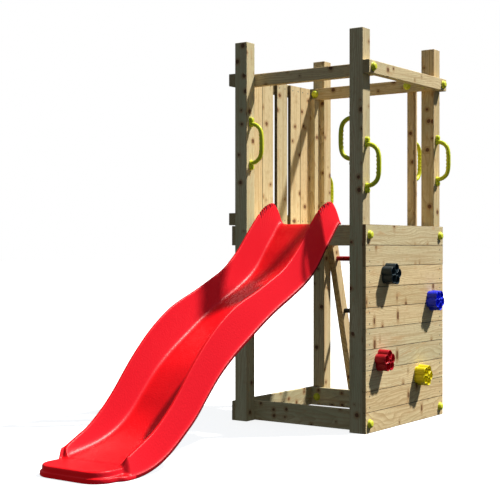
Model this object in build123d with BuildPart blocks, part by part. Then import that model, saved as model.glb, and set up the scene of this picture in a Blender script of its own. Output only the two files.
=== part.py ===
"""Timber play tower with a wavy slide, a climbing wall, a ladder and hand grips.

Millimetres, +Z up.  The slide runs towards -Y, the climbing wall is on the +X side and
the ladder is on the +Y side.  The origin is on the ground, in the middle of the footprint.
"""
import os
from math import cos, radians, tan

from build123d import *

os.makedirs("parts", exist_ok=True)

# ------------------------------------------------------------------ driving dimensions
# Tower frame, outside of post to outside of post
tower_width = 905
tower_depth = 988
post_section = 88
post_height = 2328
post_arris = 3

# Planed timber
rail_thickness = 45
rail_width = 75
board_thickness = 22
board_width = 120
wall_board_count = 10
board_arris = 2.5
upright_section = 48
upright_gap = 52.5
batten_section = 45
batten_depth = 72
batten_offset = 13
joist_thickness = 45
joist_depth = 75
joist_cap_gap = 4
deck_board_gap = 7
side_board_gaps = (59, 0, 44, 37, 0)
deck_board_count = 6

# Heights
deck_height = board_width * wall_board_count
post_head = 188
top_rail_top = post_height - post_head
side_rail_clearance = 5
side_board_top_drop = 6
base_bolt_height = 55

# Ladder
ladder_lean = 15.7
stringer_thickness = 45
stringer_depth = 75
rung_diameter = 31
rung_spacing = 359
rung_count = 3
first_rung_drop = 208
rung_housing = 20
rung_clearance = 0.5
ladder_bolt_drop = 80
rung_end_gap = 1
rung_end_chamfer = 1.5

# Slide
slide_reach = 2049
slide_width = 490
flank_run = 40
wall_lean = 30
toe_ledge = 40
slide_skin = 6
bed_skin = 8
rim_half_width = 7
rim_edge = 9
bed_corner = 34
skirt_drop = 12
skirt_lip = 24
lip_step = 8
toe_height = 56
toe_lip_height = 25
toe_setback = 6
toe_corner = 100
toe_lip_corner = 108
toe_lip_taper = 26
slide_head_lift = 8
shoulder_run = 64
slide_screw_spacing = 240
slide_seat_clearance = 1
rim_spacing = slide_width - 2 * flank_run
bed_width = rim_spacing - 2 * wall_lean
slide_toe_width = slide_width - 2 * toe_ledge

# Hand grips
grip_length = 326
grip_reach = 98
grip_tube = 25
grip_foot_width = 36
grip_foot_length = 62
grip_foot_thickness = 9
grip_cap_radius = 17
grip_bend_radius = 25
grip_leg_inset = 10
grip_leg_lean = 6
grip_leg_share = 0.72
grip_flat_share = 0.62
grip_dome_height = 10
grip_dome_taper = 12

# Climbing holds
hold_radius = 66
hold_depth = 70
hold_lobes = 5
hold_lobe_radius = 30
hold_bore = 4.6
hold_counterbore = 11
hold_edge = 8
hold_pocket_radius = 16
hold_pocket_depth = 28
hold_bolt_depth = 22
hold_bolt_bite = 14

# Fasteners
bolt_radius = 4
bolt_hole_radius = 4.5
bolt_head_radius = 8
bolt_head_height = 5.5
bolt_bite = 60
bolt_bite_short = 30
cap_radius = 26
cap_flange = 5
cap_height = 20
cap_dome_radius = 23
cap_rounding = 14
cap_recess_radius = 10
cap_recess_depth = 7.5
screw_radius = 2.2
screw_hole_radius = 2.5
screw_head_radius = 4.4
screw_length = 45
screw_inset = 28
screw_head_clearance = 0.4
drill_past = 2

# ------------------------------------------------------------------ places that follow
ladder_run = deck_height * tan(radians(ladder_lean))
stringer_foot = stringer_depth / cos(radians(ladder_lean))
slide_head_y_local = -tower_depth / 2 + post_section + board_thickness
min_x = -tower_width / 2 - rail_thickness - cap_height
max_x = tower_width / 2 + max(grip_reach, board_thickness + hold_depth)
min_y = slide_head_y_local - slide_reach
max_y = tower_depth / 2 - post_section + ladder_run + stringer_foot

# Middle of the tower, seen from the middle of the whole footprint
tower_x = -(min_x + max_x) / 2
tower_y = -(min_y + max_y) / 2

left_x = tower_x - tower_width / 2
right_x = tower_x + tower_width / 2
front_y = tower_y - tower_depth / 2
back_y = tower_y + tower_depth / 2
front_inner_y = front_y + post_section
back_inner_y = back_y - post_section
left_inner_x = left_x + post_section
right_inner_x = right_x - post_section
left_post_x = left_x + post_section / 2
right_post_x = right_x - post_section / 2
front_post_y = front_y + post_section / 2
back_post_y = back_y - post_section / 2
fascia_bottom = deck_height - board_width
top_rail_bottom = top_rail_top - rail_width
top_rail_mid = top_rail_top - rail_width / 2
side_rail_bottom = deck_height + side_rail_clearance
side_rail_mid = side_rail_bottom + rail_width / 2
fascia_mid = deck_height - board_width / 2
wall_face_x = right_x + board_thickness
upright_right = right_inner_x - upright_gap
upright_left = upright_right - upright_section
upright_mid = upright_right - upright_section / 2
deck_front = front_inner_y + board_thickness
deck_back = back_inner_y - board_thickness
slide_head_y = deck_front

TOWARDS = {"+X": Vector(1, 0, 0), "-X": Vector(-1, 0, 0), "+Y": Vector(0, 1, 0),
           "-Y": Vector(0, -1, 0), "+Z": Vector(0, 0, 1), "-Z": Vector(0, 0, -1)}

# ------------------------------------------------------------------ fastener plan
# Each fastener is (point on the face that its head sits on, way it is driven, length).
bolts = []
screws = []


def bolt(x, y, z, way, through, bite=bolt_bite):
    """A coach screw through a piece of the given thickness, into what is behind it."""
    bolts.append((Vector(x, y, z), TOWARDS[way], through + bite))


def screw(x, y, z, way):
    """A countersunk wood screw."""
    screws.append((Vector(x, y, z), TOWARDS[way], screw_length))


for post_y in (front_post_y, back_post_y):
    bolt(right_x + rail_thickness, post_y, top_rail_mid, "-X", rail_thickness)
    bolt(left_x - rail_thickness, post_y, top_rail_mid, "+X", rail_thickness)
    bolt(left_x - rail_thickness, post_y, side_rail_mid, "+X", rail_thickness)
    bolt(left_x - board_thickness, post_y, fascia_mid, "+X", board_thickness)
    bolt(left_x - board_thickness, post_y, base_bolt_height, "+X", board_thickness)
    bolt(wall_face_x, post_y, fascia_mid, "-X", board_thickness)
    bolt(wall_face_x, post_y, base_bolt_height, "-X", board_thickness)
for post_x in (left_post_x, right_post_x):
    rail_y = front_inner_y + rail_thickness
    bolt(post_x, rail_y, top_rail_mid, "-Y", rail_thickness, bolt_bite_short)
    rail_y = back_inner_y - rail_thickness
    bolt(post_x, rail_y, top_rail_mid, "+Y", rail_thickness, bolt_bite_short)
    for z in (fascia_mid, base_bolt_height):
        bolt(post_x, deck_front, z, "-Y", board_thickness, bolt_bite_short)
        bolt(post_x, deck_back, z, "+Y", board_thickness, bolt_bite_short)
bolt(upright_mid, back_inner_y - rail_thickness, top_rail_mid, "+Y", rail_thickness, bolt_bite_short)
bolt(upright_mid, deck_back, fascia_mid, "+Y", board_thickness, bolt_bite_short)
ladder_bolt_z = deck_height - ladder_bolt_drop
ladder_bolt_rise = (deck_height - ladder_bolt_z) * tan(radians(ladder_lean))
ladder_left_inner = left_inner_x + stringer_thickness
ladder_right_inner = upright_left - stringer_thickness
bolt(ladder_left_inner, back_inner_y + ladder_bolt_rise + stringer_foot / 2, ladder_bolt_z, "-X",
     stringer_thickness, bolt_bite_short)
bolt(ladder_right_inner, back_inner_y + (ladder_bolt_rise + upright_section) / 2, ladder_bolt_z, "+X",
     stringer_thickness, bolt_bite_short)

# Climbing holds: place along the wall from its middle, and height
hold_plan = {
    "climbing_hold_black": (-252, 911, 8),
    "climbing_hold_blue": (322, 737, -14),
    "climbing_hold_red": (-328, 410, 20),
    "climbing_hold_yellow": (158, 282, -4),
}
hold_seat = hold_depth - hold_bolt_depth
for along_wall, height, turn in hold_plan.values():
    bolt(wall_face_x + hold_seat, tower_y + along_wall, height, "-X", hold_seat + board_thickness,
         hold_bolt_bite)

# Deck boards on three joists
inner_depth = deck_back - deck_front
deck_board_pitch = (inner_depth - deck_board_gap) / deck_board_count
deck_board_width = deck_board_pitch - deck_board_gap
deck_board_y = [deck_front + deck_board_gap + i * deck_board_pitch for i in range(deck_board_count)]
joist_inset = post_section / 2 + cap_radius + joist_cap_gap
joist_x = {"left": left_x + joist_inset, "middle": tower_x - joist_thickness / 2,
           "right": right_x - joist_inset - joist_thickness}
for y in deck_board_y:
    for x in joist_x.values():
        for edge in (screw_inset, deck_board_width - screw_inset):
            screw(x + joist_thickness / 2, y + edge, deck_height, "-Z")

# Upright boards of the closed side, fixed from inside to the two left rails
batten_front = back_inner_y - batten_depth
side_board_width = (batten_front - front_inner_y - sum(side_board_gaps)) / len(side_board_gaps)
side_board_y = []
side_board_end = front_inner_y
for gap in side_board_gaps:
    side_board_y.append(side_board_end + gap)
    side_board_end = side_board_y[-1] + side_board_width
side_board_face = left_x + board_thickness
for y in side_board_y:
    for z in (side_rail_mid, top_rail_mid):
        for edge in (screw_inset, side_board_width - screw_inset):
            screw(side_board_face, y + edge, z, "-X")

# Wall boards between the bolted top and bottom ones
for row in range(1, wall_board_count - 1):
    for post_y in (front_post_y, back_post_y):
        for edge in (screw_inset, board_width - screw_inset):
            screw(wall_face_x, post_y, row * board_width + edge, "-X")
for side in (-1, 1):
    screw(tower_x + side * slide_screw_spacing / 2, deck_front - board_thickness / 2,
          deck_height + slide_head_lift, "-Z")


def crosses(point, way, length, low, high):
    """Whether a fastener's line meets the box between the corners low and high."""
    tip = point + way * length
    for a, b, lo, hi in zip(point, tip, low, high):
        if max(a, b) <= lo or min(a, b) >= hi:
            return False
    return True


def finish(piece, label):
    piece.part.label = label
    export_step(piece.part, f"parts/{label}.step")


def drill(low, high):
    """Cut the holes of every fastener that meets a piece with these corners."""
    for point, way, length in bolts:
        if crosses(point, way, length, low, high):
            with Locations(Plane(origin=point, z_dir=way)):
                Cylinder(bolt_hole_radius, length + drill_past, mode=Mode.SUBTRACT,
                         align=(Align.CENTER, Align.CENTER, Align.MIN))
    for point, way, length in screws:
        if crosses(point, way, length, low, high):
            with Locations(Plane(origin=point, z_dir=-way)):
                CounterSinkHole(screw_hole_radius, screw_head_radius + screw_head_clearance,
                                depth=length + drill_past)


def timber(label, low, high, long_axis, arris=board_arris):
    """A planed piece between two corners, with its long edges eased."""
    low, high = Vector(*low), Vector(*high)
    size = high - low
    with BuildPart() as piece:
        with Locations((low + high) * 0.5):
            Box(*size)
        chamfer(piece.edges().filter_by(long_axis), arris)
        drill(low, high)
    finish(piece, label)


# ------------------------------------------------------------------ posts
for name, x, y in (("post_front_left", left_x, front_y),
                   ("post_front_right", right_inner_x, front_y),
                   ("post_back_left", left_x, back_inner_y),
                   ("post_back_right", right_inner_x, back_inner_y)):
    low, high = Vector(x, y, 0), Vector(x + post_section, y + post_section, post_height)
    with BuildPart() as post:
        with Locations((low + high) * 0.5):
            Box(post_section, post_section, post_height)
        chamfer(post.edges().filter_by(Axis.Z), post_arris)
        chamfer(post.faces().sort_by(Axis.Z)[-1].edges(), post_arris / 2)
        drill(low, high)
    finish(post, name)

# ------------------------------------------------------------------ rails
timber("top_rail_right", (right_x, front_y, top_rail_bottom),
       (right_x + rail_thickness, back_y, top_rail_top), Axis.Y)
timber("top_rail_left", (left_x - rail_thickness, front_y, top_rail_bottom),
       (left_x, back_y, top_rail_top), Axis.Y)
timber("side_rail_left", (left_x - rail_thickness, front_y, side_rail_bottom),
       (left_x, back_y, side_rail_bottom + rail_width), Axis.Y)
timber("top_rail_front", (left_x, front_inner_y, top_rail_bottom),
       (right_x, front_inner_y + rail_thickness, top_rail_top), Axis.X)
timber("top_rail_back", (left_x, back_inner_y - rail_thickness, top_rail_bottom),
       (right_x, back_inner_y, top_rail_top), Axis.X)

# ------------------------------------------------------------------ base and deck edge boards
for level, bottom in (("base_board", 0), ("deck_fascia", fascia_bottom)):
    top = bottom + board_width
    timber(f"{level}_front", (left_x, front_inner_y, bottom), (right_x, deck_front, top), Axis.X)
    timber(f"{level}_back", (left_x, deck_back, bottom), (right_x, back_inner_y, top), Axis.X)
    timber(f"{level}_left", (left_x - board_thickness, front_y, bottom), (left_x, back_y, top), Axis.Y)

# ------------------------------------------------------------------ deck
deck_underside = deck_height - board_thickness
for side, x in joist_x.items():
    timber(f"deck_joist_{side}", (x, deck_front, deck_underside - joist_depth),
           (x + joist_thickness, deck_back, deck_underside), Axis.Y)
for i, y in enumerate(deck_board_y, 1):
    timber(f"deck_board_{i}", (left_x, y, deck_underside), (right_x, y + deck_board_width, deck_height),
           Axis.X)

# ------------------------------------------------------------------ closed side, climbing wall
side_board_top = top_rail_top - side_board_top_drop
for i, y in enumerate(side_board_y, 1):
    timber(f"side_board_{i}", (left_x, y, side_rail_bottom),
           (side_board_face, y + side_board_width, side_board_top), Axis.Z)
for row in range(wall_board_count):
    timber(f"wall_board_{row + 1:02d}", (right_x, front_y, row * board_width),
           (wall_face_x, back_y, (row + 1) * board_width), Axis.Y)

# ------------------------------------------------------------------ batten and ladder upright
timber("corner_batten", (left_x + batten_offset, batten_front, deck_height),
       (left_x + batten_offset + batten_section, back_inner_y, top_rail_bottom), Axis.Z)
timber("ladder_upright", (upright_left, back_inner_y, fascia_bottom),
       (upright_right, back_inner_y + upright_section, top_rail_top), Axis.Z)

# ------------------------------------------------------------------ ladder
lean = tan(radians(ladder_lean))


def ladder_front(z):
    """Where the front edge of the ladder is at a height."""
    return back_inner_y + (deck_height - z) * lean


rung_heights = [deck_height - first_rung_drop - i * rung_spacing for i in range(rung_count)]
for name, x in (("ladder_stringer_left", left_inner_x), ("ladder_stringer_right", ladder_right_inner)):
    with BuildPart() as stringer:
        with BuildSketch(Plane.YZ.offset(x)):
            with BuildLine():
                Polyline((ladder_front(0), 0), (ladder_front(0) + stringer_foot, 0),
                         (ladder_front(deck_height) + stringer_foot, deck_height),
                         (ladder_front(deck_height), deck_height), close=True)
            make_face()
        extrude(amount=stringer_thickness)
        chamfer(stringer.edges().filter_by(lambda e: abs(e.tangent_at(0.5).X) < 0.1
                                           and e.length > deck_height), board_arris)
        for z in rung_heights:
            hole_x = ladder_left_inner - rung_housing if x == left_inner_x else ladder_right_inner
            with Locations(Plane(origin=(hole_x, ladder_front(z) + stringer_foot / 2, z), z_dir=(1, 0, 0))):
                Cylinder(rung_diameter / 2 + rung_clearance, rung_housing, mode=Mode.SUBTRACT,
                         align=(Align.CENTER, Align.CENTER, Align.MIN))
        drill(Vector(x, back_inner_y, 0), Vector(x + stringer_thickness, back_y, deck_height))
    finish(stringer, name)

rung_length = ladder_right_inner - ladder_left_inner + 2 * (rung_housing - rung_end_gap)
for name, z in zip(("ladder_rung_red", "ladder_rung_black", "ladder_rung_blue"), rung_heights):
    start = ladder_left_inner - rung_housing + rung_end_gap
    with BuildPart() as rung:
        with Locations(Plane(origin=(start, ladder_front(z) + stringer_foot / 2, z), z_dir=(1, 0, 0))):
            Cylinder(rung_diameter / 2, rung_length, align=(Align.CENTER, Align.CENTER, Align.MIN))
        chamfer(rung.edges().filter_by(GeomType.CIRCLE), rung_end_chamfer)
    finish(rung, name)

# ------------------------------------------------------------------ slide
# Waves as (share of the reach from the head, share of the drop from head to toe)
bed_wave = [(0, 1), (0.015, 0.996), (0.049, 0.934), (0.087, 0.863), (0.127, 0.783), (0.174, 0.720),
            (0.247, 0.653), (0.319, 0.595), (0.387, 0.533), (0.453, 0.465), (0.517, 0.397),
            (0.578, 0.318), (0.630, 0.229), (0.673, 0.151), (0.710, 0.102), (0.748, 0.066),
            (0.798, 0.036), (0.848, 0.017), (0.886, 0.007), (0.922, 0)]
rim_wave = [(0, 1.110), (0.031, 1.112), (0.056, 1.102), (0.086, 1.071), (0.148, 0.967),
            (0.202, 0.867), (0.266, 0.779), (0.336, 0.720), (0.404, 0.669), (0.456, 0.635),
            (0.510, 0.592), (0.588, 0.498), (0.663, 0.374), (0.735, 0.231), (0.807, 0.122),
            (0.856, 0.077), (0.893, 0.045)]
skirt_settle = (0.700, 0.905)
toe_start = 0.922
head_z = deck_height + slide_head_lift
slide_drop = head_z - toe_height


def along(wave, share):
    """Smooth curve through the points of a wave."""
    last = len(wave) - 1
    k = max(i for i in range(last) if wave[i][0] <= share)
    slopes = []
    for i in (k, k + 1):
        a, b = wave[max(i - 1, 0)], wave[min(i + 1, last)]
        slopes.append((b[1] - a[1]) / (b[0] - a[0]))
    (x0, y0), (x1, y1) = wave[k], wave[k + 1]
    span = x1 - x0
    t = (share - x0) / span
    return ((1 + 2 * t) * (1 - t) ** 2 * y0 + t * (1 - t) ** 2 * span * slopes[0]
            + t * t * (3 - 2 * t) * y1 + t * t * (t - 1) * span * slopes[1])


def slide_section(share):
    """Right half of the skin, from the bed over the rim to the skirt, outside then inside."""
    bed = toe_height + slide_drop * along(bed_wave, share)
    rim = toe_height + slide_drop * along(rim_wave, share)
    start, stop = skirt_settle
    settle = min(max((share - start) / (stop - start), 0), 1)
    skirt = max(bed - skirt_drop, 0) * (1 - settle * settle * (3 - 2 * settle))
    rim_x, skirt_x, bed_x = rim_spacing / 2, slide_width / 2, bed_width / 2
    wall = rim - bed
    corner = min(bed_corner, wall / 2)
    edge = min(rim_edge, wall / 5)
    outside = [(bed_x - corner, bed), (bed_x - corner / 4, bed + corner / 6),
               (bed_x + corner / 8, bed + corner * 0.75),
               (rim_x - rim_half_width - 2, rim - edge), (rim_x - rim_half_width / 2, rim),
               (rim_x + rim_half_width / 2, rim), (rim_x + rim_half_width + 2, rim - edge),
               (skirt_x - lip_step, skirt + skirt_lip), (skirt_x, skirt + skirt_lip - lip_step),
               (skirt_x, skirt)]
    inside = [(bed_x - corner, bed - bed_skin), (bed_x - corner / 4 + 2, bed + corner / 6 - bed_skin),
              (bed_x + corner / 8 + slide_skin, bed + corner * 0.75 - bed_skin / 2),
              (rim_x - 3, rim - edge - bed_skin), (rim_x - 1, rim - bed_skin - edge / 3),
              (rim_x + 1, rim - bed_skin - edge / 3), (rim_x + 3, rim - edge - bed_skin),
              (skirt_x - lip_step - slide_skin, skirt + skirt_lip - slide_skin / 2),
              (skirt_x - slide_skin, skirt + skirt_lip - lip_step - slide_skin / 2),
              (skirt_x - slide_skin, skirt)]
    return outside, inside


def toe_section():
    """The same skin where it meets the flat two-step toe."""
    plate_x, lip_x, t = slide_toe_width / 2, slide_width / 2, slide_skin
    bed_x, top, lip = bed_width / 2, toe_height, toe_lip_height
    outside = [(bed_x - 20, top), (bed_x - 8, top), (bed_x, top), (plate_x - 14, top), (plate_x - 6, top),
               (plate_x, top - 4), (plate_x, top - 12), (plate_x, lip), (lip_x, lip), (lip_x, 0)]
    inside = [(bed_x - 20, top - t), (bed_x - 8, top - t), (bed_x, top - t), (plate_x - 15, top - t),
              (plate_x - t - 4, top - t), (plate_x - t, top - t - 4), (plate_x - t, top - t - 10),
              (plate_x - t, lip - t), (lip_x - t, lip - t), (lip_x - t, 0)]
    return outside, inside


def slide_face(halves, share):
    """Closed outline of one cross-section, mirrored about the middle."""
    outside, inside = halves
    loop = ([(-x, z) for x, z in reversed(outside)] + outside + list(reversed(inside))
            + [(-x, z) for x, z in inside])
    y = slide_head_y - share * slide_reach
    return Face(Wire.make_polygon([(tower_x + x, y, z) for x, z in loop]))


def toe_outline(width, front, corner, taper=0):
    """Plan outline of one step of the toe, with round front corners, narrower there by the taper."""
    back_half = width / 2
    half = back_half - taper
    back = slide_head_y - toe_start * slide_reach
    with BuildSketch() as plan:
        with BuildLine():
            Polyline((tower_x - half, front + corner), (tower_x - back_half, back),
                     (tower_x + back_half, back), (tower_x + half, front + corner))
            RadiusArc((tower_x + half, front + corner), (tower_x + half - corner, front), corner)
            Line((tower_x + half - corner, front), (tower_x - half + corner, front))
            RadiusArc((tower_x - half + corner, front), (tower_x - half, front + corner), corner)
        make_face()
    return plan.sketch


wall_end = 0.893
body_stations = [0, 0.03, 0.07, 0.12, 0.18, 0.25, 0.32, 0.39, 0.46, 0.53, 0.59, 0.64, 0.69, 0.74,
                 0.80, 0.85, wall_end]
toe_front = slide_head_y - slide_reach
toe_back = slide_head_y - toe_start * slide_reach
with BuildPart() as slide_chute:
    loft([slide_face(slide_section(s), s) for s in body_stations])
    loft([slide_face(slide_section(wall_end), wall_end), slide_face(toe_section(), toe_start)], ruled=True)
    # Two-step toe, hollow below
    extrude(toe_outline(slide_toe_width, toe_front + toe_setback, toe_corner), amount=toe_height)
    extrude(toe_outline(slide_width, toe_front, toe_lip_corner, toe_lip_taper), amount=toe_lip_height)
    hollow_upper = toe_outline(slide_toe_width - 2 * slide_skin, toe_front + toe_setback + slide_skin,
                               toe_corner - slide_skin)
    hollow_lower = toe_outline(slide_width - 2 * slide_skin, toe_front + slide_skin,
                               toe_lip_corner - slide_skin, toe_lip_taper)
    extrude(hollow_upper, amount=toe_height - slide_skin, mode=Mode.SUBTRACT)
    extrude(hollow_lower, amount=toe_lip_height - slide_skin, mode=Mode.SUBTRACT)
    # Rounded shoulders at the head
    with BuildSketch(Plane.YZ.offset(tower_x - slide_width)):
        crown = toe_height + slide_drop * 1.13
        with BuildLine():
            Polyline((slide_head_y - shoulder_run, crown), (slide_head_y + 5, crown),
                     (slide_head_y + 5, head_z + 2), (slide_head_y, head_z + 2))
            ThreePointArc((slide_head_y, head_z + 2),
                          (slide_head_y - shoulder_run * 0.30, head_z + (crown - head_z) * 0.62),
                          (slide_head_y - shoulder_run, crown))
        make_face()
    extrude(amount=2 * slide_width, mode=Mode.SUBTRACT)
    # Seat on the front deck board
    seat = board_thickness + 2 * slide_seat_clearance
    with Locations((tower_x, slide_head_y - board_thickness / 2, deck_height - board_width / 2)):
        Box(2 * slide_width, seat, board_width, mode=Mode.SUBTRACT)
    drill(Vector(tower_x - slide_width / 2, slide_head_y - board_thickness, deck_height),
          Vector(tower_x + slide_width / 2, slide_head_y, head_z))
finish(slide_chute, "slide_chute")

# ------------------------------------------------------------------ hand grips
# Middle of the grip on the face it is screwed to, its height as a share of the opening
# from the deck to the top rail, and the way that face looks
grip_plan = {
    "hand_grip_front_left": (left_inner_x, front_post_y, 0.585, "+X"),
    "hand_grip_front_right": (right_inner_x, front_post_y, 0.578, "-X"),
    "hand_grip_wall_front": (right_x, front_post_y, 0.394, "+X"),
    "hand_grip_wall_back": (right_x, back_post_y, 0.486, "+X"),
    "hand_grip_ladder_left": (left_post_x, back_y, 0.277, "+Y"),
    "hand_grip_ladder_right": (upright_mid, back_inner_y + upright_section, 0.491, "+Y"),
}
foot_middle = grip_length / 2 - grip_foot_length / 2
for name, (x, y, share, way) in grip_plan.items():
    z = deck_height + share * (top_rail_bottom - deck_height)
    face = Plane(origin=(x, y, z), x_dir=(0, 0, 1), z_dir=TOWARDS[way])
    reach = grip_reach - grip_tube / 2
    with BuildPart() as grip:
        side_view = Plane(origin=face.origin, x_dir=face.x_dir, z_dir=face.y_dir)
        with BuildLine(side_view) as route:
            out = side_view.to_local_coords(face.origin + face.z_dir).Y
            leg = foot_middle - grip_leg_inset
            knee, flat = leg - grip_leg_lean, leg * grip_flat_share
            rise, top = reach * grip_leg_share * out, reach * out
            FilletPolyline((leg, 2 * out), (knee, rise), (flat, top), (-flat, top), (-knee, rise),
                           (-leg, 2 * out), radius=grip_bend_radius)
        with BuildSketch(Plane(origin=route.line @ 0, z_dir=route.line % 0)):
            Circle(grip_tube / 2)
        sweep()
        for end in (-1, 1):
            foot = Plane(origin=face.origin + face.x_dir * (end * foot_middle), x_dir=face.x_dir,
                         z_dir=face.z_dir)
            with BuildSketch(foot):
                SlotOverall(grip_foot_length, grip_foot_width)
            extrude(amount=grip_foot_thickness)
            dome = foot.origin + face.x_dir * (end * (grip_foot_length - grip_foot_width) / 2)
            with BuildSketch(Plane(origin=dome, x_dir=face.x_dir, z_dir=face.z_dir)):
                Circle(grip_cap_radius)
            extrude(amount=grip_foot_thickness + grip_dome_height, taper=grip_dome_taper)
        split(bisect_by=face)
    finish(grip, name)

# ------------------------------------------------------------------ climbing holds
for name, (along_wall, height, turn) in hold_plan.items():
    face = Plane(origin=(wall_face_x, tower_y + along_wall, height), x_dir=(0, 1, 0), z_dir=(1, 0, 0))
    with BuildPart() as hold:
        with BuildSketch(face):
            Circle(hold_radius - hold_lobe_radius)
            with PolarLocations(hold_radius - hold_lobe_radius, hold_lobes, start_angle=turn):
                Circle(hold_lobe_radius)
        extrude(amount=hold_depth)
        fillet(hold.faces().sort_by(Axis.X)[-1].edges(), hold_edge)
        with BuildSketch(face.offset(hold_depth)):
            with PolarLocations(hold_radius - hold_lobe_radius, hold_lobes, start_angle=turn):
                Circle(hold_pocket_radius)
        extrude(amount=-hold_pocket_depth, mode=Mode.SUBTRACT)
        with BuildSketch(face.offset(hold_seat)):
            Circle(hold_counterbore)
        extrude(amount=hold_depth, mode=Mode.SUBTRACT)
        with BuildSketch(face):
            Circle(hold_bore)
        extrude(amount=hold_depth, mode=Mode.SUBTRACT)
    finish(hold, name)

# ------------------------------------------------------------------ fasteners
def seats(fasteners):
    """Planes on the faces that the heads sit on, looking outwards."""
    return [Plane(origin=point, z_dir=-way) for point, way, length in fasteners]


lengths = sorted({length for point, way, length in bolts})
with BuildPart() as coach_screws:
    with BuildSketch(*seats(bolts)):
        RegularPolygon(bolt_head_radius, 6)
    extrude(amount=bolt_head_height)
    for length in lengths:
        with Locations(*seats(b for b in bolts if b[2] == length)):
            Cylinder(bolt_radius, length, align=(Align.CENTER, Align.CENTER, Align.MAX))
finish(coach_screws, "coach_screws")

standing = (Align.CENTER, Align.CENTER, Align.MIN)
with BuildPart() as cap:
    Cylinder(cap_dome_radius, cap_height, align=standing)
    fillet(cap.edges().group_by(Axis.Z)[-1], cap_rounding)
    Cylinder(cap_radius, cap_flange / 2, align=standing)
    with Locations((0, 0, cap_flange / 2)):
        Cone(cap_radius, cap_dome_radius, cap_flange / 2, align=standing)
    Cylinder(cap_recess_radius, cap_recess_depth, align=standing, mode=Mode.SUBTRACT)
with BuildPart() as bolt_caps:
    with Locations(*seats(bolts[:-len(hold_plan)])):
        add(cap.part)
finish(bolt_caps, "bolt_caps")

with BuildPart() as wood_screws:
    with Locations(*seats(screws)):
        Cylinder(screw_radius, screw_length, align=(Align.CENTER, Align.CENTER, Align.MAX))
        head = screw_head_radius - screw_radius
        Cone(screw_radius, screw_head_radius, head, align=(Align.CENTER, Align.CENTER, Align.MAX))
finish(wood_screws, "wood_screws")
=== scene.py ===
from math import cos, pi, radians, sin, sqrt

import bmesh
import bpy
from mathutils import Matrix, Vector


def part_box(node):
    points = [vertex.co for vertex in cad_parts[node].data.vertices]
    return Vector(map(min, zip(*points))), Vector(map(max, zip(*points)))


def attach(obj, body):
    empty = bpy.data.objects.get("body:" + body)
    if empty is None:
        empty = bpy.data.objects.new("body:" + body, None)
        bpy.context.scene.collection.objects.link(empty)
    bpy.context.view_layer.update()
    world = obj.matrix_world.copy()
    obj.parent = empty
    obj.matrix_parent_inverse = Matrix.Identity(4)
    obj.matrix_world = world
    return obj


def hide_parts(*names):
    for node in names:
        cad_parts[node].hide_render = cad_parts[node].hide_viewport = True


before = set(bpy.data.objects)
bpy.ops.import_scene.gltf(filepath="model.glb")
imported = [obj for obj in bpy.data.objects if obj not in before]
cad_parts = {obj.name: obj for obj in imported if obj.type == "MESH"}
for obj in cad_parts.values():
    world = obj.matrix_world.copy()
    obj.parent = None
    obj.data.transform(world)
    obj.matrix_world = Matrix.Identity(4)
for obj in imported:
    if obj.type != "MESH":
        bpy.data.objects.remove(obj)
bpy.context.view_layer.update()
scene = bpy.context.scene
scene.view_settings.view_transform = "Standard"

# ------------------------------------------------------------------ camera
# Stands in front of the tower and to the right of the slide, level with the middle of the
# climbing wall, with a long lens.
post_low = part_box("post_front_left")[0]
post_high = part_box("post_back_right")[1]
tower_mid = (post_low + post_high) / 2
eye_offset = Vector((3.7338, -6.1895, 0))
eye_height = 1.0664
eye_lens = bpy.data.cameras.new("eye")
eye_lens.lens = 82.41
eye_lens.sensor_width = 36
eye = bpy.data.objects.new("eye", eye_lens)
eye.location = (tower_mid.x + eye_offset.x, tower_mid.y + eye_offset.y, eye_height)
eye.rotation_euler = (radians(89.88), 0, radians(35.56))
scene.collection.objects.link(eye)
scene.camera = eye


# ------------------------------------------------------------------ posts
# Four square posts of planed pine, pressure treated, so the wood is pale with a green-grey
# cast, brown knots and darker late wood in its rings. The heads are sawn square.
class Wire:
    """An output socket of a shader node. Arithmetic on a wire adds the Math nodes for it."""

    def __init__(self, socket):
        self.socket = socket

    def node(self, kind, settings=None, inputs=None, out=0):
        """Any other node: its settings first, then what goes into its sockets."""
        made = self.socket.id_data.nodes.new("ShaderNode" + kind)
        for name, value in (settings or {}).items():
            if name == "stops":
                bands = made.color_ramp.elements
                while len(bands) < len(value):
                    bands.new(0.5)
                for band, (place, colour) in zip(bands, value):
                    band.position = place
                    band.color = colour
            else:
                setattr(made, name, value)
        plug(made, inputs or {})
        return Wire(made.outputs[out])

    def out(self, name):
        """Another output of the same node."""
        return Wire(self.socket.node.outputs[name])

    def math(self, operation, other=0.0, swapped=False):
        first, second = (other, self) if swapped else (self, other)
        return self.node("Math", {"operation": operation}, {0: first, 1: second})

    def __add__(self, other):
        return self.math("ADD", other)

    def __sub__(self, other):
        return self.math("SUBTRACT", other)

    def __rsub__(self, other):
        return self.math("SUBTRACT", other, swapped=True)

    def __mul__(self, other):
        return self.math("MULTIPLY", other)

    def __truediv__(self, other):
        return self.math("DIVIDE", other)

    def __pow__(self, other):
        return self.math("POWER", other)

    __radd__ = __add__
    __rmul__ = __mul__


def plug(node, inputs):
    """Link wires to a node's sockets, and set plain values on them."""
    for name, value in inputs.items():
        if isinstance(value, Wire):
            node.id_data.links.new(value.socket, node.inputs[name])
        else:
            node.inputs[name].default_value = value


def paint(red, green, blue):
    """A colour from its 0-255 display values, as the shader wants it."""
    shares = [value / 255 for value in (red, green, blue)]
    return (*[s / 12.92 if s <= 0.04045 else ((s + 0.055) / 1.055) ** 2.4 for s in shares], 1)


def blend(factor, first, second):
    """A colour between two, by a wire."""
    return factor.node("Mix", {"data_type": "RGBA"}, {0: factor, 6: first, 7: second}, 2)


def ease(value, low, high):
    """A smooth rise from 0 to 1 between two values."""
    return value.node("MapRange", {"interpolation_type": "SMOOTHSTEP"},
                      {"Value": value, "From Min": low, "From Max": high})


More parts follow.
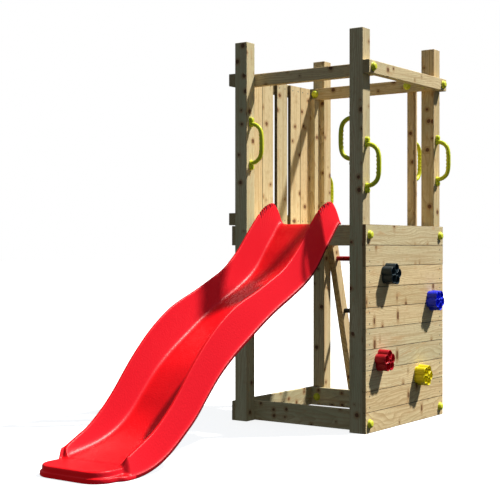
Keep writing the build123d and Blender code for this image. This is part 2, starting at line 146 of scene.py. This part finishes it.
def noise(where, scale, detail=2.0):
    return where.node("TexNoise", {}, {"Vector": where, "Scale": scale, "Detail": detail})


def new_finish(name):
    """A new material: itself, its shader, and a wire with the place of each point."""
    material = bpy.data.materials.new(name)
    material.use_nodes = True
    nodes = material.node_tree.nodes
    place = Wire(nodes.new("ShaderNodeTexCoord").outputs["Object"])
    return material, nodes["Principled BSDF"], place


early_wood = (0.85, 0.70, 0.415)
late_wood = (0.56, 0.385, 0.185)
treated_wood = (0.50, 0.485, 0.27)
knot_halo = paint(170, 122, 70)
knot_heart = paint(112, 68, 38)
# Dark brown of the knots' bark and of cracks, also used for the painted shade in the joints between boards
bark_and_joint_shadow = paint(46, 30, 20)
end_wood = paint(150, 122, 78)
resin_wood = paint(205, 148, 88)
ring_width = 0.0105
fibre_width = 0.0022
knot_spacing = 0.092
knot_largest = 0.0125
joint_shade = 0.0042
ring_bow = 0.15
weathered_stretch = 0.45


def pine(name, grain, seed, spike=1.0, treated=0.35, edges=None, pith=(0.07, 0.05)):
    """Treated pine whose grain runs along one axis; the seed picks the piece from the tree.

    The spike squeezes the knots across the grain: below 1 they are cut along the branch.
    """
    material, shader, place = new_finish(name)
    axes = place.node("SeparateXYZ", {}, {"Vector": place})
    length = axes.out(grain)
    across, through = [axes.out(axis) for axis in "XYZ" if axis != grain]
    # Each tree is a little paler or warmer than the next
    lift = 1 + 0.055 * sin(seed * 2.4)
    warm = 1 + 0.05 * sin(seed * 5.1)
    early, late_tone, green = [(c[0] * lift * warm, c[1] * lift, c[2] * lift / warm, 1)
                               for c in (early_wood, late_wood, treated_wood)]

    # Knots are branches that run out from the heart, straight into the face they show on
    facing = place.node("SeparateXYZ", {}, {"Vector": place.node("NewGeometry", {}, {}, "Normal")})
    across_axis = [axis for axis in "XYZ" if axis != grain][0]
    sideways = ease(facing.out(across_axis).math("ABSOLUTE"), 0.55, 0.65)
    breadth = through * sideways + across * (1 - sideways)
    around = facing.out(across_axis) * 0.31 + seed * 1.37
    spot = place.node("CombineXYZ", {}, {"X": length + around + seed * 2.3,
                                         "Y": (breadth + around) * spike})
    cell = place.node("TexVoronoi", {"voronoi_dimensions": "2D"},
                      {"Vector": spot, "Scale": 1 / knot_spacing})
    luck = place.node("SeparateColor", {}, {"Color": cell.out("Color")})
    knot_radius = ease(luck, 0.38, 1.0) * knot_largest
    wander = noise(place, 90, 1) * 0.006 - 0.003
    edge = cell * knot_spacing + wander - knot_radius
    knot = (1 - ease(edge, -0.0025, 0.0015)) * ease(knot_radius, 0.001, 0.004)
    halo = (1 - ease(edge, 0.0, 0.020)) * ease(knot_radius, 0.0, 0.005)

    # Growth rings round a heart that lies beside the piece
    slow = place.node("CombineXYZ", {}, {"X": length * 0.8 + seed * 1.9, "Y": across * 3.0,
                                         "Z": through * 3.0})
    bow = (noise(slow, 1.6, 2) - 0.5) * ring_bow
    side = across + (seed % 5 - 2) * 0.013 + pith[0]
    deep = through - (seed % 3 - 1) * 0.017 + pith[1]
    ring = ((side * side + deep * deep) ** 0.5 + bow + halo * 0.008) / ring_width
    late = ring.math("FRACT") ** 2.2

    # Fibres, streaks, weathered flecks and broad patches where the treatment took
    fibre_place = place.node("CombineXYZ", {}, {"X": length * 0.035 + seed, "Y": across, "Z": through})
    fibre = noise(fibre_place, 1 / fibre_width, 3)
    streak = noise(fibre_place, 75, 3)
    patch = noise(slow, 2.6, 2)

    wood = blend(late * 0.80, early, late_tone)
    wood = blend(ease(patch, 0.35, 0.72) * treated, wood, green)
    resin = ease(noise(slow, 9, 3), 0.60, 0.74)
    wood = blend(resin * 0.42, wood, resin_wood)
    wood = blend(ease(streak, 0.44, 0.72) * 0.62, wood, late_tone)
    wood = blend(ease(fibre, 0.50, 0.78) * 0.35, wood, late_tone)
    weathered = place.node("CombineXYZ", {}, {"X": length * weathered_stretch + seed, "Y": across,
                                              "Z": through})
    wood = blend(ease(noise(weathered, 70, 3), 0.50, 0.68) * 0.34, wood, late_tone)
    wood = blend(halo * 0.62, wood, knot_halo)
    wood = blend(knot * 0.88, wood, knot_heart)
    wood = blend(ease(edge, -0.004, -0.001) * knot * 0.7, wood, bark_and_joint_shadow)
    check = ease(noise(fibre_place, 260, 2), 0.70, 0.76)
    wood = blend(check * 0.4, wood, bark_and_joint_shadow)

    # Painted shade: the joints between boards, along the two long edges of the face, are darkened for the
    # shadow in the gaps
    if edges:
        axis, low, high = edges
        from_middle = (axes.out(axis) - (low + high) / 2).math("ABSOLUTE")
        joint = ease(from_middle, (high - low) / 2 - joint_shade, (high - low) / 2)
        wood = blend(joint * 0.8, wood, bark_and_joint_shadow)

    # Sawn ends are darker, since the treatment soaks in along the fibres
    wood = blend(ease(facing.out(grain).math("ABSOLUTE"), 0.6, 0.9) * 0.6, wood, end_wood)

    relief = place.node("Bump", {}, {"Height": fibre * 0.6 + late * 0.5 - check, "Strength": 0.4,
                                     "Distance": 0.0009})
    plug(shader, {"Base Color": wood, "Roughness": 0.82 - knot * 0.2 - late * 0.08, "Normal": relief,
                  "Specular IOR Level": 0.3})
    return material


def coat(node, material):
    """Give a carried-over piece its finish."""
    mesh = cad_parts[node].data
    mesh.materials.clear()
    mesh.materials.append(material)


posts = ("post_front_left", "post_front_right", "post_back_left", "post_back_right")
for seed, node in enumerate(posts, 1):
    coat(node, pine(node + "_pine", "Z", seed, treated=0.55, pith=(0.02, 0.02)))

# ------------------------------------------------------------------ rails
# Planed 45 by 75 pine round the top of the tower and along the closed side, bolted flat to
# the posts.
rails = {"top_rail_right": "Y", "top_rail_left": "Y", "side_rail_left": "Y", "top_rail_front": "X",
         "top_rail_back": "X"}
for seed, (node, grain) in enumerate(rails.items(), 11):
    coat(node, pine(node + "_pine", grain, seed, treated=0.45))

# ------------------------------------------------------------------ base and deck edge boards
# Boards on edge between the posts, bolted to them at the ground and round the deck. They take
# up the most treatment, so they are the greenest.
frame_boards = {"front": "X", "back": "X", "left": "Y"}
for seed, (side, grain) in enumerate(frame_boards.items(), 21):
    for level, shift in (("base_board", 0), ("deck_fascia", 4)):
        node = f"{level}_{side}"
        coat(node, pine(node + "_pine", grain, seed + shift, treated=0.6))

# ------------------------------------------------------------------ deck
# Six pine boards across three joists, which hang between the front and back deck edge boards.
# The boards are screwed down with a gap between them, so that rain drains.


def long_edges(node, axis):
    """A board's two long edges, as the axis across it and where they are."""
    low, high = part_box(node)
    return axis, low["XYZ".index(axis)], high["XYZ".index(axis)]


for seed, side in enumerate(("left", "middle", "right"), 31):
    coat(f"deck_joist_{side}", pine(f"deck_joist_{side}_pine", "Y", seed))
for row in range(1, 7):
    node = f"deck_board_{row}"
    coat(node, pine(node + "_pine", "X", 34 + row, spike=0.6, edges=long_edges(node, "Y")))

# ------------------------------------------------------------------ closed side
# Five upright boards behind the slide's left shoulder, screwed to the two left rails, with
# a batten in the corner.
for row in range(1, 6):
    node = f"side_board_{row}"
    coat(node, pine(node + "_pine", "Z", 41 + row, spike=0.9, treated=0.12,
                    edges=long_edges(node, "Y")))
coat("corner_batten", pine("corner_batten_pine", "Z", 48))

# ------------------------------------------------------------------ climbing wall
# Ten boards screwed flat across the right-hand posts, edge to edge. Their knots are spike
# knots, cut along the branch, so they lie across the boards.
for row in range(1, 11):
    node = f"wall_board_{row:02d}"
    coat(node, pine(node + "_pine", "Y", 50 + row, spike=0.45, treated=0.25,
                    edges=long_edges(node, "Z")))

# ------------------------------------------------------------------ ladder
# Two leaning stringers with three round plastic-covered rungs let into them, beside an
# upright at the entrance.
coat("ladder_upright", pine("ladder_upright_pine", "Z", 62))
for seed, side in enumerate(("left", "right"), 63):
    coat(f"ladder_stringer_{side}", pine(f"ladder_stringer_{side}_pine", "Z", seed, treated=0.1))


def moulded(name, colour, shade, roughness=0.42, grain=900, relief=0.00012, scuffs=0.25, painted_glow=0.0,
            upright=None):
    """Moulded plastic: a finely grained skin, a little uneven in colour, with paler scuffs.

    Upright is a painted sheen: a paler colour for faces that stand on edge. The emission (glow) is painted
    light, an even glow in the plastic's own colour that lifts its shaded parts.
    """
    material, shader, place = new_finish(name)
    cloud = noise(place, 7, 2)
    speck = noise(place, grain, 2)
    scuff_place = place.node("Mapping", {}, {"Vector": place, "Scale": (1.0, 0.25, 1.0)})
    scuff = ease(noise(scuff_place, 38, 5), 0.62, 0.80) * scuffs
    tone = blend(ease(cloud, 0.3, 0.7), colour, shade)
    pale = tuple(min(1, share * 1.15 + 0.02) for share in colour[:3]) + (1,)
    tone = blend(scuff, tone, pale)
    if upright:
        # Painted sheen: faces that stand on edge take the paler upright colour
        facing = place.node("SeparateXYZ", {}, {"Vector": place.node("NewGeometry", {}, {}, "Normal")})
        tone = blend(ease(facing.math("ABSOLUTE"), 0.30, 0.80), tone, upright)
    bump = place.node("Bump", {}, {"Height": speck, "Strength": 0.5, "Distance": relief})
    # The emission is painted light that lifts the shaded parts evenly
    plug(shader, {"Base Color": tone, "Roughness": roughness + scuff * 0.3 + (cloud - 0.5) * 0.1,
                  "Normal": bump, "Emission Color": tone, "Emission Strength": painted_glow,
                  "Specular IOR Level": 0.25})
    return material


coat("ladder_rung_red", moulded("rung_red", paint(190, 22, 34), paint(160, 16, 28)))
coat("ladder_rung_black", moulded("rung_black", paint(38, 42, 46), paint(28, 31, 35)))
coat("ladder_rung_blue", moulded("rung_blue", paint(38, 62, 190), paint(30, 50, 165)))

# ------------------------------------------------------------------ slide
# One blow-moulded skin of red plastic: a waved bed between two walls with rolled rims, an
# outer flank that ends in a turned lip, notched shoulders and a two-step toe. It is screwed
# down on the deck's edge.
slide_low, slide_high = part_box("slide_chute")
slide_mid = (slide_low.x + slide_high.x) / 2
slide_reach = slide_high.y - slide_low.y
deck_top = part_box("deck_board_1")[1].z
slide_skin = 0.006
toe_top = 0.056
toe_lip = 0.025
slide_drop = deck_top + 0.008 - toe_top
bed_half = 0.175
bed_corner = 0.034
rim_half = 0.205
rim_crown = 0.008
rim_round = 0.0064
skirt_half = (slide_high.x - slide_low.x) / 2
skirt_drop = 0.012
lip_height = 0.024
lip_step = 0.008
shoulder_run = 0.064
shoulder_fade = 0.150
seat_depth = 0.0245
wall_end = 0.893
wall_end_run = 0.014
flank_start = 12
flank_lag = 0.009
toe_start = 0.922
# The bed's and the rim's waves: (share of the reach, share of the drop)
bed_wave = [(0, 1), (0.015, 0.996), (0.049, 0.934), (0.087, 0.863), (0.127, 0.783), (0.174, 0.720),
            (0.247, 0.653), (0.319, 0.595), (0.387, 0.533), (0.453, 0.465), (0.517, 0.397),
            (0.578, 0.318), (0.630, 0.229), (0.673, 0.151), (0.710, 0.102), (0.748, 0.066),
            (0.798, 0.036), (0.848, 0.017), (0.886, 0.007), (0.922, 0)]
rim_wave = [(0, 1.110), (0.031, 1.112), (0.056, 1.102), (0.086, 1.071), (0.148, 0.967),
            (0.202, 0.867), (0.266, 0.779), (0.336, 0.720), (0.404, 0.669), (0.456, 0.635),
            (0.510, 0.592), (0.588, 0.498), (0.663, 0.374), (0.735, 0.231), (0.807, 0.122),
            (0.856, 0.077), (0.893, 0.045)]


def along(wave, share):
    """Smooth curve through the points of a wave."""
    last = len(wave) - 1
    share = min(share, wave[last][0])
    k = max(i for i in range(last) if wave[i][0] <= share)
    slopes = []
    for i in (k, k + 1):
        a, b = wave[max(i - 1, 0)], wave[min(i + 1, last)]
        slopes.append((b[1] - a[1]) / (b[0] - a[0]))
    (x0, y0), (x1, y1) = wave[k], wave[k + 1]
    span = x1 - x0
    t = (share - x0) / span
    return ((1 + 2 * t) * (1 - t) ** 2 * y0 + t * (1 - t) ** 2 * span * slopes[0]
            + t * t * (3 - 2 * t) * y1 + t * t * (t - 1) * span * slopes[1])


def rounded(before, corner, after, cut, steps):
    """Points of a rounded corner, which starts and ends at the cut from its tip."""
    start = corner + (before - corner).normalized() * cut
    end = corner + (after - corner).normalized() * cut
    points = []
    for i in range(steps + 1):
        t = i / steps
        points.append(start * (1 - t) ** 2 + corner * 2 * t * (1 - t) + end * t * t)
    return points


def smooth(t):
    t = min(max(t, 0), 1)
    return t * t * (3 - 2 * t)


def wall_half(share):
    """Right half of a section with walls, from the middle of the bed out to the skirt."""
    bed = toe_top + slide_drop * along(bed_wave, share)
    rim = toe_top + slide_drop * along(rim_wave, share)
    skirt = max(bed - skirt_drop, 0) * (1 - smooth((share - 0.700) / 0.205))
    middle, foot = Vector((0, bed)), Vector((bed_half, bed))
    inner, outer = Vector((rim_half - rim_crown, rim)), Vector((rim_half + rim_crown, rim))
    crease = Vector((skirt_half - lip_step, skirt + lip_height))
    corner = rounded(middle, foot, inner, min(bed_corner, (rim - bed) / 2), 4)
    crown = rounded(foot, inner, outer, rim_round, 2) + rounded(inner, outer, crease, rim_round, 2)
    lip = [crease, Vector((skirt_half - lip_step / 8, skirt + lip_height - lip_step * 0.9)),
           Vector((skirt_half, skirt + lip_height / 2)), Vector((skirt_half, skirt))]
    flank = [crown[-1].lerp(crease, 0.33), crown[-1].lerp(crease, 0.8)]
    return ([middle, middle.lerp(corner[0], 0.5)] + corner + [corner[-1].lerp(crown[0], 0.5)]
            + crown + flank + lip)


plate_half = 0.205
plate_setback = 0.006
plate_corner = 0.100
lip_corner = 0.108
lip_taper = 0.026
# Rings of the toe's edge, from the plate over its step and the lip to the ground: inset
# from the plate's edge, share of the way from the plate's edge to the lip's, and height
toe_rings = [(0.039, 0, toe_top), (0.030, 0, toe_top), (0.021, 0, toe_top), (0.013, 0, toe_top),
             (0.006, 0, toe_top - 0.0008), (0.0015, 0, toe_top - 0.004), (0, 0, toe_top - 0.010),
             (0, 0.02, toe_lip + 0.009), (0, 0.12, toe_lip + 0.002), (0, 0.45, toe_lip),
             (0, 0.88, toe_lip - 0.001), (0, 1, toe_lip - 0.008), (0, 1, 0)]
first_ring = 7


def toe_half():
    """Right half of the section where the wall has ended and the toe begins."""
    flat = [Vector((x, toe_top)) for x in (0, 0.0705, 0.141, 0.146, 0.151, 0.156, 0.161)]
    return flat + [Vector((plate_half - inset + share * (skirt_half - plate_half), z))
                   for inset, share, z in toe_rings]


def shoulder(point):
    """How far the head's end of the wall is cut back at a point, by its height."""
    head_z = toe_top + slide_drop
    top = toe_top + slide_drop * rim_wave[0][1]
    h = min(max((point.y - head_z) / (top - head_z), 0), 1)
    return shoulder_run * (1 - sqrt(max(0, 1 - h * h)))


notches = [0.060 + 0.019 * i for i in range(8)]
notch_depth = 0.014
notch_half = 0.0032
stations = [0, 0.004, 0.010, 0.020, seat_depth - 0.001, seat_depth + 0.001, 0.038, 0.050]
for place in notches:
    stations += [place + step for step in (-notch_half * 1.5, -notch_half, notch_half, notch_half * 1.5)]
body_start = 0.210
body_rows = 44
body_step = (wall_end * slide_reach - body_start) / body_rows
stations += [body_start + body_step * i for i in range(body_rows + 1)]
end_rows = 6
stations += [wall_end * slide_reach + (toe_start - wall_end) * slide_reach * i / end_rows
             for i in range(1, end_rows + 1)]
crown_columns = range(8, 14)
head_half = wall_half(0)
slide_rows = []
for distance in stations:
    row = []
    for k, at_head in enumerate(head_half):
        reached = distance + shoulder(at_head) * max(0, 1 - distance / shoulder_fade)
        share = reached / slide_reach
        point = wall_half(share)[k]
        ended = smooth((share - wall_end - (flank_lag if k >= flank_start else 0)) / wall_end_run)
        point = point.lerp(toe_half()[k], ended)
        x, z = point
        if k in crown_columns and any(abs(distance - place) <= notch_half * 1.01 for place in notches):
            z -= notch_depth
        if distance < seat_depth:
            z = max(z, deck_top + 0.001)
        row.append(Vector((x, slide_high.y - reached, z)))
    slide_rows.append([Vector((-p.x, p.y, p.z)) for p in reversed(row[1:])] + row)


def toe_ring(inset, share, z):
    """One ring round the toe, from its right side round the front to its left side."""
    half = plate_half - inset + share * (skirt_half - plate_half)
    setback = plate_setback * (1 - share) + inset
    corner = plate_corner - inset + share * (lip_corner - plate_corner)
    front = slide_low.y + setback
    back = slide_high.y - toe_start * slide_reach
    taper = lip_taper * share
    right = [(half - taper * smooth(i / 3), back + (front + corner - back) * i / 3) for i in range(4)]
    half -= taper
    for i in range(1, 9):
        turn = pi / 2 * i / 8
        right.append((half - corner + corner * cos(turn), front + corner - corner * sin(turn)))
    right += [((half - corner) * (1 - i / 3), front) for i in range(1, 4)]
    return [Vector((x, y, z)) for x, y in right + [(-x, y) for x, y in reversed(right[:-1])]]


def strip(first, second):
    """Faces between two rows of as many points."""
    return [(first[i], first[i + 1], second[i + 1], second[i]) for i in range(len(first) - 1)]


def skin_mesh(name, polygons):
    """A welded mesh from polygons given by their corners, facing outwards."""
    mesh = bpy.data.meshes.new(name)
    points = [point for polygon in polygons for point in polygon]
    faces, used = [], 0
    for polygon in polygons:
        faces.append(tuple(range(used, used + len(polygon))))
        used += len(polygon)
    mesh.from_pydata(points, [], faces)
    form = bmesh.new()
    form.from_mesh(mesh)
    bmesh.ops.remove_doubles(form, verts=form.verts, dist=0.00004)
    bmesh.ops.recalc_face_normals(form, faces=form.faces)
    form.to_mesh(mesh)
    form.free()
    for face in mesh.polygons:
        face.use_smooth = True
    return mesh


def add_piece(name, mesh, finish, node, levels):
    """Put a moulded piece in place of its plain solid."""
    piece = bpy.data.objects.new(name, mesh)
    scene.collection.objects.link(piece)
    mesh.materials.append(finish)
    rounding = piece.modifiers.new("rounding", "SUBSURF")
    rounding.levels = levels
    rounding.render_levels = levels
    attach(piece, "root")
    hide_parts(node)
    return piece


slide_faces = []
for first, second in zip(slide_rows, slide_rows[1:]):
    slide_faces += strip(first, second)
rings = [toe_ring(*ring) for ring in toe_rings]
for first, second in zip(rings, rings[1:]):
    slide_faces += strip(first, second)
middle_column = len(head_half) - 1
plate_back = slide_rows[-1][middle_column - first_ring:middle_column + first_ring + 1]
slide_faces.append(tuple(rings[0]) + tuple(plate_back[1:-1]))
slide_mesh = skin_mesh("slide_skin", slide_faces)
if slide_mesh.polygons[middle_column].normal.z < 0:
    slide_mesh.flip_normals()
slide_mesh.transform(Matrix.Translation((slide_mid, 0, 0)))
# The slide's upright colour is a painted sheen on its walls and flanks, and its emission is painted light
# that lifts the shaded red
slide_red = moulded("slide_red", paint(246, 12, 22), paint(236, 6, 18), roughness=0.40, grain=110,
                    relief=0.0024, scuffs=0.18, painted_glow=0.13, upright=paint(238, 26, 42))
# Painted shade: a dark red for the shade inside the notches on the shoulders' rims
notch_shade_red = moulded("slide_notch_shade", paint(96, 4, 14), paint(80, 3, 12))
# Painted shade: a darker red for the shade along the skirt's outer lip, the slide's lower edge
skirt_edge_shade_red = moulded("slide_skirt_edge_shade", paint(150, 6, 20), paint(138, 4, 18))
slide = add_piece("slide_skin", slide_mesh, slide_red, "slide_chute", 2)
slide_mesh.materials.append(notch_shade_red)
slide_mesh.materials.append(skirt_edge_shade_red)
for face in slide_mesh.polygons:
    distance = slide_high.y - face.center.y
    rim = toe_top + slide_drop * along(rim_wave, max(distance, 0) / slide_reach)
    # Faces in the notches take the dark red of painted shade
    in_notch = any(abs(distance - place) < notch_half for place in notches)
    if in_notch and face.center.z > rim - notch_depth * 1.3:
        face.material_index = 1
    # The skirt's outer lip, up to the wall's end, takes the darker red of painted shade
    elif abs(face.center.x - slide_mid) > skirt_half - 0.0006 and distance < wall_end * slide_reach:
        face.material_index = 2
wall_thickness = slide.modifiers.new("thickness", "SOLIDIFY")
wall_thickness.thickness = slide_skin
wall_thickness.offset = -1
slide.modifiers.move(1, 0)
slide.visible_diffuse = False

# ------------------------------------------------------------------ hand grips
# Lime plastic handles, each a bowed tube with finger bumps on its inside, on two foot
# plates whose screws sit under domed covers.
lime = moulded("grip_lime", paint(232, 238, 62), paint(214, 226, 46), roughness=0.36, scuffs=0.2)
grip_facing = {"front_left": (1, 0, 0), "front_right": (-1, 0, 0), "wall_front": (1, 0, 0),
               "wall_back": (1, 0, 0), "ladder_left": (0, 1, 0), "ladder_right": (0, 1, 0)}
grip_tube = 0.0142
grip_sides = 20
foot_length = 0.062
foot_width = 0.036
bump_count = 5
bump_pitch = 0.024
bump_height = 0.0048
# The tube's line: along the post from the middle, and out from the post
grip_line = [(0.120, 0.002), (0.118, 0.022), (0.109, 0.046), (0.090, 0.068), (0.064, 0.0787),
             (0.034, 0.0829), (0, 0.0834)]


def curve_point(points, t):
    """A point on the smooth line through points, for t from 0 to 1."""
    spans = len(points) - 1
    k = min(int(t * spans), spans - 1)
    f = t * spans - k
    a, b = points[max(k - 1, 0)], points[k]
    c, d = points[k + 1], points[min(k + 2, spans)]
    return (b * 2 + (c - a) * f + (a * 2 - b * 5 + c * 4 - d) * f * f
            + (b * 3 - a - c * 3 + d) * f * f * f) / 2


def stacked(outline, layers):
    """Faces of a closed stack of outlines: each layer is (inset, height); the top is closed."""
    loops = [[Vector((x, y, height)) for x, y in outline(inset)] for inset, height in layers]
    faces = []
    for first, second in zip(loops, loops[1:]):
        faces += strip(first + first[:1], second + second[:1])
    top = loops[-1]
    crown = sum(top, Vector()) / len(top)
    faces += [(top[i - 1], top[i], crown) for i in range(len(top))]
    return faces


def slot_outline(inset):
    radius = foot_width / 2 - inset
    straight = (foot_length - foot_width) / 2
    points = []
    for end in (1, -1):
        for i in range(13):
            turn = pi * i / 12 - pi / 2
            points.append((end * (straight + radius * cos(turn)), end * radius * sin(turn)))
    return points


def round_outline(radius):
    def outline(inset):
        return [((radius - inset) * cos(2 * pi * i / 24), (radius - inset) * sin(2 * pi * i / 24))
                for i in range(24)]
    return outline


def grip_faces():
    """The handle in its own frame: x along the post, y across it, z out from it."""
    half = [Vector((x, 0, z)) for x, z in grip_line]
    line = half + [Vector((-p.x, 0, p.z)) for p in reversed(half[:-1])]
    rings_along = 96
    loops = []
    for i in range(rings_along + 1):
        t = i / rings_along
        centre = curve_point(line, t)
        ahead, behind = curve_point(line, min(t + 0.004, 1)), curve_point(line, max(t - 0.004, 0))
        heading = (ahead - behind).normalized()
        outward = heading.cross(Vector((0, 1, 0))).normalized()
        reach = abs(centre.x) / bump_pitch
        ridge = 0.5 + 0.5 * cos(2 * pi * reach)
        ridge *= smooth((bump_count / 2 - reach) * 2)
        loop = []
        for j in range(grip_sides):
            turn = 2 * pi * j / grip_sides
            inside = max(0, -cos(turn) * (1 if outward.z > 0 else -1)) ** 1.5
            radius = grip_tube - 0.0008 + bump_height * ridge * inside
            loop.append(centre + outward * radius * cos(turn) + Vector((0, 1, 0)) * radius * sin(turn))
        loops.append(loop)
    faces = []
    for first, second in zip(loops, loops[1:]):
        faces += strip(first + first[:1], second + second[:1])
    foot = stacked(slot_outline, [(0, 0), (0, 0.0055), (0.0006, 0.0076), (0.0022, 0.009), (0.006, 0.0092)])
    dome = stacked(round_outline(0.0172), [(0, 0.008), (0, 0.012), (0.0006, 0.0145), (0.0026, 0.0178),
                                           (0.0062, 0.0203), (0.0105, 0.0214)])
    neck = stacked(round_outline(0.0155), [(0, 0.006), (0.0012, 0.012), (0.0030, 0.018), (0.0042, 0.026)])
    for end in (1, -1):
        middle = end * (0.163 - foot_length / 2)
        faces += [tuple(p + Vector((middle, 0, 0)) for p in face) for face in foot]
        faces += [tuple(p + Vector((middle + end * 0.0135, 0, 0)) for p in face) for face in dome]
        faces += [tuple(p + Vector((end * 0.120, 0, 0)) for p in face) for face in neck]
    return faces


plain_grip = grip_faces()
for name, facing in grip_facing.items():
    node = "hand_grip_" + name
    low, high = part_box(node)
    out = Vector(facing)
    centre = (low + high) / 2
    seat = centre - out * abs((high - low).dot(out)) / 2
    upward = Vector((0, 0, 1))
    sideways = out.cross(upward)
    placed = [tuple(seat + upward * p.x + sideways * p.y + out * p.z for p in face) for face in plain_grip]
    add_piece(node + "_moulding", skin_mesh(node + "_moulding", placed), lime, node, 1)

# ------------------------------------------------------------------ bolt covers
# Domed lime covers, snapped over the head of the coach screw at every joint of the frame.
# They are moulded in the same plastic as the hand grips, a little glossier.
coat("bolt_caps", moulded("cap_lime", paint(236, 240, 78), paint(220, 228, 58), roughness=0.34))

# ------------------------------------------------------------------ climbing holds
# Five-lobed plastic holds with a deep finger pocket in each lobe. Thin ribs part the pockets
# and run out from a boss in the middle, where one coach screw holds it to the wall.
hold_radius = 0.066
lobe_radius = 0.030
hold_depth = 0.070
side_draft = 0.0022
bolt_well = 0.0095
well_depth = 0.022
well_floor = 0.0082
boss_radius = 0.0150
rim_wall = 0.0050
rib_half = 0.0022
pocket_depth = 0.032
pocket_rings = 25
wall_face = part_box("wall_board_01")[1].x
hold_colours = {"black": (paint(44, 58, 66), paint(34, 46, 54)),
                "blue": (paint(38, 56, 236), paint(30, 46, 214)),
                "red": (paint(200, 24, 44), paint(180, 18, 36)),
                "yellow": (paint(236, 222, 30), paint(222, 206, 22))}
# Place along the wall from its middle, height, and turn in degrees
hold_plan = {"black": (-0.252, 0.911, 8), "blue": (0.322, 0.737, -14), "red": (-0.328, 0.410, 20),
             "yellow": (0.158, 0.282, -4)}
hold_steps = 120
hold_angles = [2 * pi * i / hold_steps for i in range(hold_steps)]


def lobed(angle):
    """Distance from the middle to the outline of a five-lobed hold."""
    spread = (angle + pi / 5) % (2 * pi / 5) - pi / 5
    arm = hold_radius - lobe_radius
    return arm * cos(spread) + sqrt(lobe_radius ** 2 - (arm * sin(spread)) ** 2)


def hold_height(share, angle):
    """Height of the hold's front over its seat, at a share of the way out."""
    reach = lobed(angle) * share
    spread = (angle + pi / 5) % (2 * pi / 5) - pi / 5
    edge = lobed(angle) - reach
    rib = sin(pi / 5 - abs(spread)) * reach
    inside = min(edge - rim_wall, rib - rib_half, reach - boss_radius)
    return hold_depth - 0.004 * share * share - pocket_depth * smooth(inside / 0.0055)


for colour, (along_wall, up_wall, turn) in hold_plan.items():
    loops = []
    for level in (0, 0.02, 0.55, 0.80, 0.875, 0.91):
        inset = side_draft * level
        loops.append([(lobed(angle) - inset, level * hold_depth) for angle in hold_angles])
    for ring in range(pocket_rings):
        share = 0.985 - 0.75 * ring / (pocket_rings - 1)
        loops.append([((lobed(angle) - 0.002) * share, hold_height(share, angle)) for angle in hold_angles])
    loops += [[(bolt_well, hold_depth - depth)] * hold_steps
              for depth in (0.0005, 0.003, well_depth - 0.001, well_depth)]
    loops.append([(well_floor, hold_depth - well_depth)] * hold_steps)
    rims = []
    for loop in loops:
        rim = []
        for angle, (reach, height) in zip(hold_angles, loop):
            turned = angle + radians(turn)
            rim.append(Vector((wall_face + height, tower_mid.y + along_wall + reach * cos(turned),
                               up_wall + reach * sin(turned))))
        rims.append(rim + rim[:1])
    faces = []
    for first, second in zip(rims, rims[1:]):
        faces += strip(first, second)
    node = "climbing_hold_" + colour
    light, dark = hold_colours[colour]
    finish = moulded(node, light, dark, roughness=0.34, grain=600, relief=0.0003)
    add_piece(node + "_moulding", skin_mesh(node + "_moulding", faces), finish, node, 1)

# ------------------------------------------------------------------ screws
# Zinc-plated coach screws in the frame and the holds, and duller countersunk wood screws in
# the boards.


def zinc(name, dull, grey):
    """Zinc plate of a grey, with a bloom that dulls it in places."""
    material, shader, place = new_finish(name)
    bloom = noise(place, 340, 3)
    clean, bloomed = [paint(shade, shade, shade * 0.97) for shade in (grey, grey * 0.8)]
    tone = blend(ease(bloom, 0.35, 0.7), clean, bloomed)
    bump = place.node("Bump", {}, {"Height": noise(place, 1500, 2), "Strength": 0.3, "Distance": 0.0001})
    plug(shader, {"Base Color": tone, "Metallic": 1.0, "Roughness": dull + bloom * 0.2, "Normal": bump})
    return material


coat("coach_screws", zinc("zinc_coach", 0.28, 190))
coat("wood_screws", zinc("zinc_wood", 0.45, 138))

# ------------------------------------------------------------------ floor and light
# A pale floor that lightens its own shadows, a high light from behind on the right, and a
# weak blue-grey fill all round.
floor_mesh = bpy.data.meshes.new("floor")
floor_half = 60
floor_drop = 0.0006
floor_corners = ((-1, -1), (1, -1), (1, 1), (-1, 1))
floor_mesh.from_pydata([(x * floor_half, y * floor_half, -floor_drop) for x, y in floor_corners],
                       [], [(0, 1, 2, 3)])
floor = bpy.data.objects.new("floor", floor_mesh)
scene.collection.objects.link(floor)
floor_paint, floor_shader, floor_place = new_finish("floor_pale")
floor_cloud = noise(floor_place, 0.7, 3)
floor_tone = blend(floor_cloud, (0.62, 0.62, 0.62, 1), (0.60, 0.60, 0.60, 1))
plug(floor_shader, {"Base Color": floor_tone, "Roughness": 0.9, "Emission Color": (1, 1, 1, 1),
                    "Emission Strength": 0.84, "Specular IOR Level": 0.1})
floor_mesh.materials.append(floor_paint)
floor.visible_diffuse = False
floor.visible_glossy = False

sun = bpy.data.objects.new("key", bpy.data.lights.new("key", "SUN"))
sun.data.energy = 6.0
sun.data.angle = radians(3)
sun.data.color = (1, 0.965, 0.90)
sun.rotation_euler = Vector((-70, -74, -150)).to_track_quat("-Z", "Y").to_euler()
scene.collection.objects.link(sun)

sky = bpy.data.worlds.new("studio")
scene.world = sky
sky.use_nodes = True
sky_nodes = sky.node_tree.nodes
sky_nodes.clear()
direction = Wire(sky_nodes.new("ShaderNodeTexCoord").outputs["Generated"])
upwards = direction.node("SeparateXYZ", {}, {"Vector": direction}).out("Z")
fill = blend(ease(upwards, -0.3, 0.6), (0.055, 0.060, 0.056, 1), (0.158, 0.190, 0.228, 1))
fill_light = direction.node("Background", {}, {"Color": fill, "Strength": 1.0})
white = direction.node("Background", {}, {"Color": (1, 1, 1, 1), "Strength": 1.0})
seen = direction.node("LightPath", {}, {}, "Is Camera Ray")
shown = direction.node("MixShader", {}, {0: seen, 1: fill_light, 2: white})
output = sky_nodes.new("ShaderNodeOutputWorld")
plug(output, {"Surface": shown})
